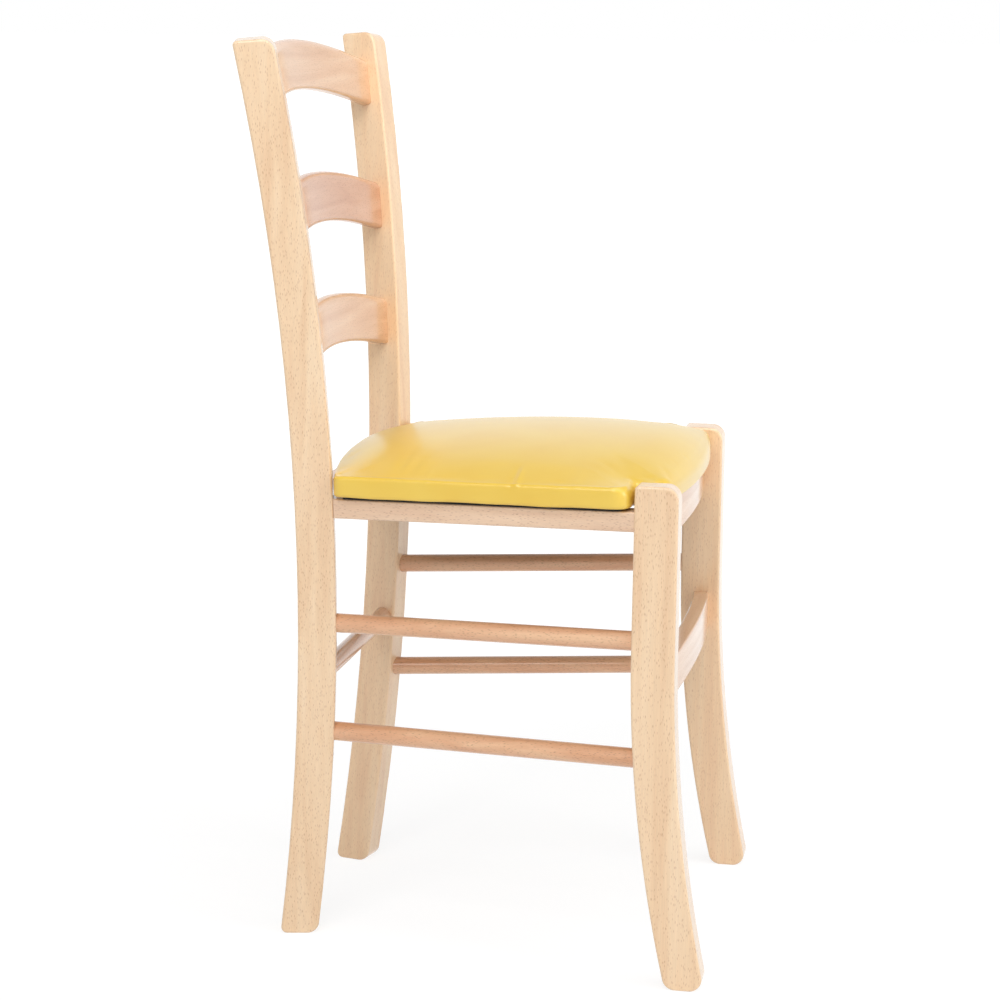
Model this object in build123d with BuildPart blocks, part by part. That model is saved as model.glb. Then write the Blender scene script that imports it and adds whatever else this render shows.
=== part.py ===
# Upholstered ladder-back dining chair in beech, with a screwed-on seat pad.
# Millimetres. Z is up, the front faces -Y, +X is the sitter's left.
# The right-hand members stand at -X, and the left-hand ones are their mirror images.

import os
from math import asin, atan2, cos, degrees, radians, sin, sqrt, tan

from build123d import *

# Rear posts: curved planks, turned inward at the front and splayed outward at the top
post_length = 879.3
post_thickness = 28.0
post_depth = 36.7
post_bend_radius = 2780.0
post_bend_height = 334.0
post_turn = 12.7
post_splay = 5.3
post_top_slope = 5.0
rear_foot_half_gap = 119.8
rear_foot_y = 202.0

# Front legs: upright planks that curve forward towards the foot
leg_above_rail = 33.8
leg_thickness = 28.0
leg_depth = 40.8
leg_reach = 397.0
leg_straight_from = 320.0
leg_front_radius = 1456.0
leg_back_radius = 1346.0
leg_lean_in = 1.4
front_foot_half_gap = 187.0

# Rounded ends and edges of posts and legs
top_front_round = 13.0
top_back_round = 4.0
foot_front_round = 12.0
foot_back_round = 6.0
edge_round = 2.5

# Back slats: bowed to the rear in plan, arched in elevation, placed below the posts' tops
slat_drops = {"bottom": 299.8, "middle": 179.1, "top": 51.5}
slat_height = 50.0
slat_thickness = 12.5
slat_set_back = 12.0
slat_arch_radius = 650.0
slat_edge_round = 4.0
slat_top_flat = 0.5
slat_tenon_height = 32.0
slat_tenon_thickness = 7.0
slat_tenon_depth = 15.0

# Round stretchers, given by the heights of their two ends
rod_diameter = 18.5
rod_depth = 16.0
side_rod_heights = {"upper": (320.6, 329.3), "lower": (210.4, 217.9)}
rear_rod_height = 265.0
rear_rod_set_back = 13.0
rear_rod_depth = 12.0

# Seat rails under the pad
rail_height = 19.0
rail_width = 22.0
rail_round = 2.0
rail_rear_height = 436.3
rail_front_height = 442.5
rail_tenon_width = 10.0
rail_tenon_height = 12.0
rail_depth = 16.0
rear_rail_height = 18.0
rear_rail_thickness = 14.0
rear_rail_set_back = 29.0
rear_rail_tenon_height = 12.0
rear_rail_tenon_thickness = 7.0
rear_rail_tenon_depth = 12.0
front_rail_height = 31.0
front_rail_thickness = 17.0
front_rail_set_back = 6.7
front_rail_bow_radius = 850.0
front_rail_arch_radius = 1150.0
front_rail_tenon_height = 16.0
front_rail_tenon_thickness = 8.0
front_rail_tenon_depth = 14.0
tenon_spacing = 5.0

# Flat front stretcher
front_stretcher_top = 308.3
front_stretcher_height = 38.7
front_stretcher_thickness = 15.5
front_stretcher_set_back = 2.0
front_stretcher_bow_radius = 1450.0
front_stretcher_arch_radius = 1800.0
front_stretcher_tenon_height = 26.0
front_stretcher_tenon_thickness = 8.0
front_stretcher_tenon_depth = 14.0
board_edge_round = 1.5

# Seat pad: dust cover, plywood board, foam and leathercloth cover
dust_cover_thickness = 3.0
dust_cover_inset = 5.0
cover_thickness = 1.2
board_thickness = 10.0
pad_crown = 46.0
pad_crown_width_radius = 750.0
pad_crown_length_radius = 1230.0
pad_crown_from_front = 160.0
pad_overhang = 20.0
pad_front_overhang = 7.3
pad_front_bow_radius = 920.0
pad_rear_bow_radius = 640.0
pad_leg_gap = 2.5
pad_post_gap = 2.5
pad_corner_round = 18.0
pad_rear_round = 11.0
pad_lobe_round = 22.0
pad_notch_round = 8.0
pad_top_round = 10.0
pad_bottom_round = 4.0

# Fasteners
screw_diameter = 4.0
screw_head_diameter = 8.0
screw_head_height = 2.6
screw_socket_across = 2.5
screw_socket_depth = 1.4
screw_bite = 7.0
screw_recess = 4.0
screws_per_rail = 2
staple_crown = 10.0
staple_wire = 0.9
staple_bite = 6.0
staple_from_rail = 8.0
staple_from_edge = 15.0
staples_per_side = 6
staples_per_end = 4
hem_past_staples = 8.0

# Stock left on before cutting to length, and tenons running on into their members
below_floor = -20.0
end_margin = 20.0
tenon_root = 5.0

# Clearances
glue_gap = 0.1
screw_gap = 0.2
screw_head_gap = 0.5
foam_gap = 0.2

os.makedirs("parts", exist_ok=True)


def write(block, name):
    block.part.label = name
    export_step(block.part, f"parts/{name}.step")


def member_plane(half_gap, turn, splay):
    """The mid plane of a right-hand member: x runs backward, y up along it and z inward."""
    outward = Vector(-cos(radians(turn)), -sin(radians(turn)), 0)
    backward = Vector(-sin(radians(turn)), cos(radians(turn)), 0)
    inward = Vector(0, 0, sin(radians(splay))) - outward * cos(radians(splay))
    return Plane(origin=(-half_gap, rear_foot_y, 0), x_dir=backward, z_dir=inward)


slat_heights = {name: post_length - drop for name, drop in slat_drops.items()}
slat_top_round = slat_thickness - slat_edge_round - slat_top_flat
leg_length = rail_front_height + leg_above_rail
post_plane = member_plane(rear_foot_half_gap, post_turn, post_splay)
leg_plane = member_plane(front_foot_half_gap, 0, -leg_lean_in)
floor = Plane.XY
middle = Plane.YZ

# Edges of the post and the leg in their own planes, as functions of the height along them
post_inner_radius = post_bend_radius - post_depth
post_centre = sqrt(post_inner_radius**2 - post_bend_height**2)


def post_front(height):
    return post_centre - sqrt(post_bend_radius**2 - (height - post_bend_height) ** 2)


def post_back(height):
    return post_centre - sqrt(post_inner_radius**2 - (height - post_bend_height) ** 2)


def post_lean(height):
    return asin((height - post_bend_height) / post_bend_radius)


def leg_bend(radius, height):
    drop = max(leg_straight_from - height, 0)
    return radius - sqrt(radius**2 - drop**2)


def leg_front(height):
    return -leg_reach - leg_bend(leg_front_radius, height)


def leg_back(height):
    return leg_depth - leg_reach - leg_bend(leg_back_radius, height)


def on_post(set_back, height, inward=0.0):
    return post_plane.from_local_coords((post_front(height) + set_back, height, inward))


def on_leg(depth, height, inward=0.0):
    return leg_plane.from_local_coords((depth, height, inward))


def along_post(level):
    return level / cos(radians(post_splay))


def along_leg(level):
    return level / cos(radians(leg_lean_in))


post_inner_face = Plane(
    origin=post_plane.from_local_coords((0, 0, post_thickness / 2)),
    x_dir=post_plane.x_dir,
    z_dir=post_plane.z_dir,
)
leg_inner_face = Plane(
    origin=leg_plane.from_local_coords((0, 0, leg_thickness / 2)),
    x_dir=leg_plane.x_dir,
    z_dir=leg_plane.z_dir,
)


def mirrored(plane):
    """The plane's mirror image in the chair's middle, with its z still pointing inward."""
    return Plane(
        origin=Vector(-plane.origin.X, plane.origin.Y, plane.origin.Z),
        x_dir=Vector(-plane.x_dir.X, plane.x_dir.Y, plane.x_dir.Z),
        z_dir=Vector(-plane.z_dir.X, plane.z_dir.Y, plane.z_dir.Z),
    )


def bar(plane, width, height, length, back=0.0):
    """A straight bar along the plane's z, from the distance back behind it to length before it."""
    with BuildPart() as block:
        with BuildSketch(plane.offset(-back)):
            Rectangle(width, height)
        extrude(amount=length + back)
    return block.part


def rod(plane, diameter, length, back=0.0):
    with BuildPart() as block:
        with BuildSketch(plane.offset(-back)):
            Circle(diameter / 2)
        extrude(amount=length + back)
    return block.part


def axis_plane(start, end, up):
    """A plane at start that faces end, with its y as near to up as it can be."""
    along = (end - start).normalized()
    return Plane(origin=start, x_dir=up.cross(along), z_dir=along)


# Seat plane: the tops of the side rails, level from side to side and rising to the front
rail_rear = on_post(rail_depth / 2, along_post(rail_rear_height))
rail_front = on_leg(leg_back(rail_front_height) - rail_depth / 2, along_leg(rail_front_height))
rail_length = (rail_front - rail_rear).length
seat_slope = atan2(rail_front.Z - rail_rear.Z, rail_rear.Y - rail_front.Y)
seat_normal = Vector(0, sin(seat_slope), cos(seat_slope))
seat_plane = Plane(
    origin=Vector(0, rail_front.Y, rail_front.Z) + seat_normal * (rail_height / 2),
    x_dir=(1, 0, 0),
    z_dir=seat_normal,
)
rail_plane = axis_plane(rail_rear, rail_front, seat_normal)


def seat_point(point):
    return seat_plane.to_local_coords(point)


# Slats: planes through each slat's end at the right post, leaning with the post
def slat_end(name):
    return on_post(slat_set_back, slat_heights[name], post_thickness / 2)


def slat_plane(name):
    lean = post_lean(slat_heights[name])
    end = slat_end(name)
    return Plane(origin=(0, end.Y, end.Z), x_dir=(1, 0, 0), z_dir=(0, sin(lean), cos(lean)))


def slat_tenon_plane(name):
    lean = post_lean(slat_heights[name])
    up = Vector(post_plane.y_dir) * cos(lean) + Vector(post_plane.x_dir) * sin(lean)
    centre = on_post(slat_set_back + slat_thickness / 2, slat_heights[name], post_thickness / 2)
    outward = post_plane.z_dir * -1
    return Plane(origin=centre, x_dir=up.cross(outward), z_dir=outward)


# Stretcher axes
def side_rod_plane(name):
    rear_level, front_level = side_rod_heights[name]
    start = on_post(rod_depth / 2, along_post(rear_level))
    end = on_leg(leg_back(front_level) - rod_depth / 2, along_leg(front_level))
    return axis_plane(start, end, Vector(0, 0, 1)), (end - start).length


rear_rod_end = on_post(rear_rod_set_back, along_post(rear_rod_height), post_thickness / 2)
rear_rod_far_end = Vector(-rear_rod_end.X, rear_rod_end.Y, rear_rod_end.Z)
rear_rod_plane = axis_plane(rear_rod_end, rear_rod_far_end, Vector(0, 0, 1))
rear_rod_length = -2 * rear_rod_end.X

# Rear seat rail, straight across between the posts, its top in the seat plane
rear_rail_end = on_post(rear_rail_set_back, along_post(rail_rear_height), post_thickness / 2)
rear_rail_y = seat_point(rear_rail_end).Y
rear_rail_plane = Plane(
    origin=seat_plane.from_local_coords((0, rear_rail_y, -rear_rail_height / 2)),
    x_dir=seat_plane.y_dir,
    z_dir=(1, 0, 0),
)

# Front rail and front stretcher: half lengths and the faces' places between the legs
front_rail_end = -on_leg(leg_front(rail_front_height), along_leg(rail_front_height), leg_thickness / 2).X
front_rail_y = rear_foot_y - leg_reach + front_rail_set_back
front_stretcher_level = front_stretcher_top - front_stretcher_height / 2
front_stretcher_end = -on_leg(0, along_leg(front_stretcher_level), leg_thickness / 2).X
front_stretcher_y = rear_foot_y - leg_reach + front_stretcher_set_back


def sagitta(radius, half):
    return radius - sqrt(radius**2 - half**2)


def side_tenon_plane(end_x, y, level):
    """The plane of a tenon that leaves a front board's right-hand end along the leg's inner face."""
    return Plane(origin=(-end_x, y, level), x_dir=(0, 1, 0), z_dir=leg_plane.z_dir * -1)


front_rail_tenon_y = front_rail_y + sagitta(front_rail_bow_radius, front_rail_end) + front_rail_thickness / 2
side_tenon_bottom = rail_front_height - rail_tenon_height / 2
front_rail_tenon_level = side_tenon_bottom - tenon_spacing - front_rail_tenon_height / 2
front_rail_tenon = side_tenon_plane(
    -on_leg(0, along_leg(front_rail_tenon_level), leg_thickness / 2).X,
    front_rail_tenon_y,
    front_rail_tenon_level,
)
front_stretcher_bow = sagitta(front_stretcher_bow_radius, front_stretcher_end)
front_stretcher_tenon_y = front_stretcher_y + front_stretcher_bow + front_stretcher_thickness / 2
front_stretcher_tenon = side_tenon_plane(
    front_stretcher_end,
    front_stretcher_tenon_y,
    front_stretcher_level - sagitta(front_stretcher_arch_radius, front_stretcher_end),
)


def tenon(plane, thickness, height, depth, root=0.0, gap=0.0):
    """A tenon along the plane's z, rooted behind the plane, or with a gap its mortise."""
    return bar(plane, thickness + 2 * gap, height + 2 * gap, depth + gap, root)


# Everything let into the right-hand post and leg, as cutters
slat_mortise_size = (slat_tenon_thickness, slat_tenon_height, slat_tenon_depth)
post_cutters = [
    tenon(slat_tenon_plane(name), *slat_mortise_size, root=tenon_root, gap=glue_gap) for name in slat_heights
]
leg_cutters = [
    tenon(
        front_rail_tenon,
        front_rail_tenon_thickness,
        front_rail_tenon_height,
        front_rail_tenon_depth,
        root=tenon_root,
        gap=glue_gap,
    ),
    tenon(
        front_stretcher_tenon,
        front_stretcher_tenon_thickness,
        front_stretcher_tenon_height,
        front_stretcher_tenon_depth,
        root=tenon_root,
        gap=glue_gap,
    ),
]
for name in side_rod_heights:
    plane, length = side_rod_plane(name)
    bore_end = rod_depth / 2 + glue_gap
    bore = rod(plane, rod_diameter + 2 * glue_gap, length + bore_end, bore_end)
    post_cutters.append(bore)
    leg_cutters.append(bore)
rail_mortise = bar(
    rail_plane,
    rail_tenon_width + 2 * glue_gap,
    rail_tenon_height + 2 * glue_gap,
    rail_length + rail_depth / 2 + glue_gap,
    rail_depth / 2 + glue_gap,
)
post_cutters.append(rail_mortise)
leg_cutters.append(rail_mortise)
rear_rod_reach = rear_rod_depth + glue_gap
post_cutters.append(rod(rear_rod_plane, rod_diameter + 2 * glue_gap, rear_rod_length, rear_rod_reach))
rear_rail_half = -rear_rail_end.X
post_cutters.append(
    bar(
        rear_rail_plane.offset(-rear_rail_half),
        rear_rail_tenon_thickness + 2 * glue_gap,
        rear_rail_tenon_height + 2 * glue_gap,
        rear_rail_half,
        rear_rail_tenon_depth + glue_gap,
    )
)


def side_edges(block, plane):
    """The outline edges of a plank's two flat sides."""
    across = Axis(plane.origin, plane.z_dir)
    sides = block.faces().sort_by(across)
    return sides[0].edges() + sides[-1].edges()


def foot_edges(block):
    return block.faces().sort_by(Axis.Z)[0].edges().sort_by(Axis.Y)


# Rear posts
post_top_back = post_length - post_depth * tan(radians(post_top_slope))
with BuildPart() as right_post:
    with BuildSketch(post_plane):
        with BuildLine():
            front_edge = ThreePointArc(
                (post_front(below_floor), below_floor),
                (post_front(post_bend_height), post_bend_height),
                (post_front(post_length), post_length),
            )
            back_edge = ThreePointArc(
                (post_back(below_floor), below_floor),
                (post_back(post_bend_height), post_bend_height),
                (post_back(post_top_back), post_top_back),
            )
            Line(front_edge @ 0, back_edge @ 0)
            Line(front_edge @ 1, back_edge @ 1)
        make_face()
        fillet(vertices().sort_by(Axis.Y)[-2:].sort_by(Axis.X)[0], radius=top_front_round)
        fillet(vertices().sort_by(Axis.Y)[-3:].sort_by(Axis.X)[-1], radius=top_back_round)
    extrude(amount=post_thickness / 2, both=True)
    split(bisect_by=floor, keep=Keep.TOP)
    fillet(foot_edges(right_post)[0], radius=foot_front_round)
    fillet(foot_edges(right_post)[-1], radius=foot_back_round)
    fillet(side_edges(right_post, post_plane), radius=edge_round)
    add(post_cutters, mode=Mode.SUBTRACT)
write(right_post, "rear_post_right")

with BuildPart() as left_post:
    mirror(right_post.part, about=middle)
write(left_post, "rear_post_left")

# Front legs
with BuildPart() as right_leg:
    with BuildSketch(leg_plane):
        with BuildLine():
            front_top = Line((leg_front(leg_length), leg_length), (-leg_reach, leg_straight_from))
            front_curve = TangentArc(
                front_top @ 1, (leg_front(below_floor), below_floor), tangent=front_top % 1
            )
            back_top = Line((leg_back(leg_length), leg_length), (leg_depth - leg_reach, leg_straight_from))
            back_curve = TangentArc(
                back_top @ 1, (leg_back(below_floor), below_floor), tangent=back_top % 1
            )
            Line(front_top @ 0, back_top @ 0)
            Line(front_curve @ 1, back_curve @ 1)
        make_face()
        fillet(vertices().sort_by(Axis.Y)[-2:].sort_by(Axis.X)[0], radius=top_front_round)
        fillet(vertices().sort_by(Axis.Y)[-3:].sort_by(Axis.X)[-1], radius=top_back_round)
    extrude(amount=leg_thickness / 2, both=True)
    split(bisect_by=floor, keep=Keep.TOP)
    fillet(foot_edges(right_leg)[0], radius=foot_front_round)
    fillet(foot_edges(right_leg)[-1], radius=foot_front_round)
    fillet(side_edges(right_leg, leg_plane), radius=edge_round)
    add(leg_cutters, mode=Mode.SUBTRACT)
write(right_leg, "front_leg_right")

with BuildPart() as left_leg:
    mirror(right_leg.part, about=middle)
write(left_leg, "front_leg_left")


def strip(first_ends, first_middle, second_ends, second_middle, reach):
    """A flat strip between two arcs across the y axis, given at their ends and at the middle."""
    with BuildSketch() as face:
        with BuildLine():
            first = ThreePointArc((-reach, first_ends), (0, first_middle), (reach, first_ends))
            second = ThreePointArc((-reach, second_ends), (0, second_middle), (reach, second_ends))
            Line(first @ 0, second @ 0)
            Line(first @ 1, second @ 1)
        make_face()
    return face.sketch


def bowed_face(reach, centre, first_radius, second_radius, side):
    """A strip between two arcs about one centre on the y axis, bulging to that side."""
    return strip(
        centre + side * sqrt(first_radius**2 - reach**2),
        centre + side * first_radius,
        centre + side * sqrt(second_radius**2 - reach**2),
        centre + side * second_radius,
        reach,
    )


def arched_face(reach, top, bottom, radius):
    """A strip between two like arches, given by their heights at the middle."""
    drop = sagitta(radius, reach)
    return strip(top - drop, top, bottom - drop, bottom, reach)


def elevation(plane):
    """The upright plane through a plan plane's x axis, facing the front."""
    return Plane(origin=plane.origin, x_dir=plane.x_dir, z_dir=plane.y_dir * -1)


def long_edges(block, length):
    return block.edges().filter_by(lambda edge: edge.length > length)


def both_sides(solid):
    return [solid, mirror(solid, about=middle)]


# Back slats
for name in slat_heights:
    plane = slat_plane(name)
    half = -slat_end(name).X
    reach = half + end_margin
    bow_radius = half / sin(radians(post_turn))
    bow_centre = sagitta(bow_radius, half) - bow_radius
    arch_rise = sagitta(slat_arch_radius, half)
    plan = bowed_face(reach, bow_centre, bow_radius, bow_radius + slat_thickness, 1)
    face = arched_face(reach, arch_rise + slat_height / 2, arch_rise - slat_height / 2, slat_arch_radius)
    tenons = both_sides(tenon(slat_tenon_plane(name), *slat_mortise_size, root=tenon_root))
    with BuildPart() as slat:
        with BuildSketch(plane):
            add(plan)
        extrude(amount=slat_height + arch_rise, both=True)
        with BuildSketch(elevation(plane)):
            add(face)
        extrude(amount=bow_radius, both=True, mode=Mode.INTERSECT)
        split(bisect_by=post_inner_face, keep=Keep.TOP)
        split(bisect_by=mirrored(post_inner_face), keep=Keep.TOP)
        fillet(long_edges(slat, half).sort_by(Axis.Z)[:-1], radius=slat_edge_round)
        fillet(long_edges(slat, half).sort_by(Axis.Z)[-1], radius=slat_top_round)
        add(tenons)
    write(slat, f"back_slat_{name}")

# Round side stretchers
for name in side_rod_heights:
    plane, length = side_rod_plane(name)
    right_rod = rod(plane, rod_diameter, length + rod_depth / 2, rod_depth / 2)
    for side, solid in zip(("right", "left"), both_sides(right_rod)):
        with BuildPart() as stretcher:
            add(solid)
        write(stretcher, f"side_stretcher_{name}_{side}")

# Round rear stretcher
with BuildPart() as rear_stretcher:
    add(rod(rear_rod_plane, rod_diameter, rear_rod_length + rear_rod_depth, rear_rod_depth))
write(rear_stretcher, "rear_stretcher")

# Flat front stretcher, bowed forward, with a low arch
front_stretcher_plane = Plane(origin=(0, front_stretcher_y, front_stretcher_top))
front_stretcher_tenons = both_sides(
    tenon(
        front_stretcher_tenon,
        front_stretcher_tenon_thickness,
        front_stretcher_tenon_height,
        front_stretcher_tenon_depth,
        root=tenon_root,
    )
)
reach = front_stretcher_end + end_margin
back_radius = front_stretcher_bow_radius - front_stretcher_thickness
plan = bowed_face(reach, front_stretcher_bow_radius, front_stretcher_bow_radius, back_radius, -1)
face = arched_face(reach, 0, -front_stretcher_height, front_stretcher_arch_radius)
with BuildPart() as front_stretcher:
    with BuildSketch(front_stretcher_plane):
        add(plan)
    extrude(amount=2 * front_stretcher_height, both=True)
    with BuildSketch(elevation(front_stretcher_plane)):
        add(face)
    extrude(amount=leg_reach, both=True, mode=Mode.INTERSECT)
    split(bisect_by=leg_inner_face, keep=Keep.TOP)
    split(bisect_by=mirrored(leg_inner_face), keep=Keep.TOP)
    fillet(long_edges(front_stretcher, front_stretcher_end), radius=board_edge_round)
    add(front_stretcher_tenons)
write(front_stretcher, "front_stretcher")

# Front seat rail, bowed forward, with an arched lower edge and its top in the seat plane
front_rail_top = seat_plane.origin.Z + (seat_plane.origin.Y - front_rail_y) * tan(seat_slope)
front_rail_plane = Plane(origin=(0, front_rail_y, front_rail_top))
front_rail_tenons = both_sides(
    tenon(
        front_rail_tenon,
        front_rail_tenon_thickness,
        front_rail_tenon_height,
        front_rail_tenon_depth,
        root=tenon_root,
    )
)
reach = front_rail_end + end_margin
back_radius = front_rail_bow_radius - front_rail_thickness
plan = bowed_face(reach, front_rail_bow_radius, front_rail_bow_radius, back_radius, -1)
face = arched_face(reach, front_rail_height, -front_rail_height, front_rail_arch_radius)
with BuildPart() as front_rail:
    with BuildSketch(front_rail_plane):
        add(plan)
    extrude(amount=2 * front_rail_height, both=True)
    with BuildSketch(elevation(front_rail_plane)):
        add(face)
    extrude(amount=leg_reach, both=True, mode=Mode.INTERSECT)
    split(bisect_by=seat_plane, keep=Keep.BOTTOM)
    split(bisect_by=leg_inner_face, keep=Keep.TOP)
    split(bisect_by=mirrored(leg_inner_face), keep=Keep.TOP)
    fillet(long_edges(front_rail, front_rail_end), radius=board_edge_round)
    add(front_rail_tenons)
write(front_rail, "front_seat_rail")

# Rear seat rail
with BuildPart() as rear_rail:
    with BuildSketch(rear_rail_plane):
        Rectangle(rear_rail_thickness, rear_rail_height)
    extrude(amount=rear_rail_half + end_margin, both=True)
    split(bisect_by=post_inner_face, keep=Keep.TOP)
    split(bisect_by=mirrored(post_inner_face), keep=Keep.TOP)
    fillet(long_edges(rear_rail, rear_rail_half), radius=board_edge_round)
    with BuildSketch(rear_rail_plane):
        Rectangle(rear_rail_tenon_thickness, rear_rail_tenon_height)
    extrude(amount=rear_rail_half + rear_rail_tenon_depth, both=True)
write(rear_rail, "rear_seat_rail")

# Pad outline in the seat plane, notched round the front legs and set before the posts
leg_corner = seat_point(on_leg(leg_back(rail_front_height), along_leg(rail_front_height), leg_thickness / 2))
lobe_half = -leg_corner.X - pad_leg_gap
notch_y = leg_corner.Y + pad_leg_gap
pad_front = seat_point(Vector(0, front_rail_y, seat_plane.origin.Z)).Y - pad_front_overhang
lobe_y = pad_front + sagitta(pad_front_bow_radius, lobe_half)
post_corner = seat_point(on_post(0, along_post(rail_rear_height), post_thickness / 2))
pad_rear = post_corner.Y - pad_post_gap + sagitta(pad_rear_bow_radius, post_corner.X)

# The pad's sides run along the rails, x = side_start + side_rise * y
rail_start = seat_point(rail_rear)
rail_end = seat_point(rail_front)
side_rise = (rail_end.X - rail_start.X) / (rail_end.Y - rail_start.Y)


def beside_rail(offset):
    """Where the line at this offset outside the right rail's axis crosses y = 0."""
    return rail_start.X - side_rise * rail_start.Y - offset * sqrt(1 + side_rise**2)


side_start = beside_rail(pad_overhang)
rear_centre = pad_rear - pad_rear_bow_radius
slope_term = side_start * side_rise - rear_centre
scale_term = side_rise**2 + 1
level_term = side_start**2 + rear_centre**2 - pad_rear_bow_radius**2
rear_corner_y = (sqrt(slope_term**2 - scale_term * level_term) - slope_term) / scale_term
rear_corner_x = side_start + side_rise * rear_corner_y
front_corner_x = side_start + side_rise * notch_y

# Screws up through the side rails into the board, their heads sunk in the rails' undersides
rail_down = seat_normal * (screw_recess - rail_height / 2)
screw_length = rail_height - screw_recess + dust_cover_thickness + cover_thickness + screw_bite
screw_planes = []
for index in range(screws_per_rail):
    distance = rail_length * (index + 0.5) / screws_per_rail
    seat = rail_plane.from_local_coords((0, 0, distance)) + rail_down
    for x in (seat.X, -seat.X):
        screw_planes.append(Plane(origin=(x, seat.Y, seat.Z), x_dir=(1, 0, 0), z_dir=seat_normal))
with BuildPart() as seat_screws:
    with BuildSketch(*screw_planes):
        Circle(screw_diameter / 2)
    extrude(amount=screw_length)
    with BuildSketch(*screw_planes):
        Circle(screw_head_diameter / 2)
    extrude(amount=-screw_head_height)
    with BuildSketch(*[plane.offset(-screw_head_height) for plane in screw_planes]):
        RegularPolygon(screw_socket_across / 2, 6, major_radius=False)
    extrude(amount=screw_socket_depth, mode=Mode.SUBTRACT)
write(seat_screws, "seat_screws")

with BuildPart() as screw_hole_block:
    with BuildSketch(*screw_planes):
        Circle(screw_diameter / 2 + screw_gap)
    extrude(amount=screw_length + screw_gap)
    with BuildSketch(*screw_planes):
        Circle(screw_head_diameter / 2 + screw_head_gap)
    extrude(amount=-(screw_recess + end_margin))
screw_holes = screw_hole_block.part

# Staples through the dust cover and the cover's hem, inside the rails
side_line = rail_width / 2 + staple_from_rail
front_line = front_rail_y + sagitta(front_rail_bow_radius, front_rail_end) + front_rail_thickness
front_line = seat_point(Vector(0, front_line, seat_plane.origin.Z)).Y + staple_from_rail
end_width = 2 * (rear_rail_half - side_line)
rear_line = pad_rear - sagitta(pad_rear_bow_radius, end_width / 2) - staple_from_edge
staple_planes = []
for index in range(staples_per_side):
    distance = rail_length * (index + 0.5) / staples_per_side
    crown = rail_plane.from_local_coords((side_line, rail_height / 2, distance))
    for side in (1, -1):
        along = Vector(side * rail_plane.z_dir.X, rail_plane.z_dir.Y, rail_plane.z_dir.Z)
        staple_planes.append(
            Plane(origin=(side * crown.X, crown.Y, crown.Z), x_dir=along, z_dir=seat_normal)
        )
for index in range(staples_per_end):
    across = end_width * ((index + 0.5) / staples_per_end - 0.5)
    for line in (front_line, rear_line):
        crown = seat_plane.from_local_coords((across, line, 0))
        staple_planes.append(Plane(origin=crown, x_dir=(1, 0, 0), z_dir=seat_normal))
staple_leg = dust_cover_thickness + cover_thickness + staple_bite
with BuildPart() as cover_staples:
    with BuildSketch(*staple_planes):
        Rectangle(staple_crown, staple_wire)
    extrude(amount=-staple_wire)
    with BuildSketch(*staple_planes):
        with GridLocations(staple_crown - staple_wire, 0, 2, 1):
            Rectangle(staple_wire, staple_wire)
    extrude(amount=staple_leg)
write(cover_staples, "cover_staples")

with BuildPart() as staple_hole_block:
    with BuildSketch(*staple_planes):
        with GridLocations(staple_crown - staple_wire, 0, 2, 1):
            Rectangle(staple_wire + 2 * glue_gap, staple_wire + 2 * glue_gap)
    extrude(amount=staple_leg + glue_gap)
fastener_holes = [screw_holes, staple_hole_block.part]

# Side seat rails, square-shouldered against the post's front and the leg's back
lean = post_lean(along_post(rail_rear_height))
post_face_normal = post_plane.y_dir * sin(lean) - post_plane.x_dir * cos(lean)
post_shoulder = Plane(
    origin=on_post(0, along_post(rail_rear_height)) + post_face_normal * glue_gap,
    z_dir=post_face_normal,
)
leg_shoulder = Plane(
    origin=on_leg(leg_back(rail_front_height), along_leg(rail_front_height)),
    z_dir=leg_plane.x_dir,
)
with BuildPart() as right_rail:
    with BuildSketch(rail_plane.offset(-rail_depth)):
        RectangleRounded(rail_width, rail_height, rail_round)
    extrude(amount=rail_length + 2 * rail_depth)
    split(bisect_by=post_shoulder, keep=Keep.TOP)
    split(bisect_by=leg_shoulder, keep=Keep.TOP)
    with BuildSketch(rail_plane.offset(-rail_depth / 2)):
        Rectangle(rail_tenon_width, rail_tenon_height)
    extrude(amount=rail_length + rail_depth)
    add(screw_holes, mode=Mode.SUBTRACT)
write(right_rail, "side_seat_rail_right")

with BuildPart() as left_rail:
    mirror(right_rail.part, about=middle)
write(left_rail, "side_seat_rail_left")


def pad_outline(inset):
    with BuildSketch() as outline:
        with BuildLine():
            ThreePointArc((-lobe_half, lobe_y), (0, pad_front), (lobe_half, lobe_y))
            Polyline((-lobe_half, lobe_y), (-lobe_half, notch_y), (front_corner_x, notch_y))
            Line((front_corner_x, notch_y), (rear_corner_x, rear_corner_y))
            ThreePointArc((rear_corner_x, rear_corner_y), (0, pad_rear), (-rear_corner_x, rear_corner_y))
            Line((-rear_corner_x, rear_corner_y), (-front_corner_x, notch_y))
            Polyline((-front_corner_x, notch_y), (lobe_half, notch_y), (lobe_half, lobe_y))
        make_face()
        fillet(vertices().sort_by(Axis.Y)[-2:], radius=pad_rear_round)
        fillet(vertices().sort_by(Axis.Y)[:2], radius=pad_lobe_round)
        at_notch = vertices().filter_by_position(Axis.Y, notch_y - glue_gap, notch_y + glue_gap)
        fillet(at_notch.sort_by(lambda vertex: abs(vertex.X))[-2:], radius=pad_corner_round)
        at_notch = vertices().filter_by_position(Axis.Y, notch_y - glue_gap, notch_y + glue_gap)
        fillet(at_notch.sort_by(lambda vertex: abs(vertex.X))[:2], radius=pad_notch_round)
        if inset:
            offset(amount=-inset, mode=Mode.REPLACE)
    return outline.sketch


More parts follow.
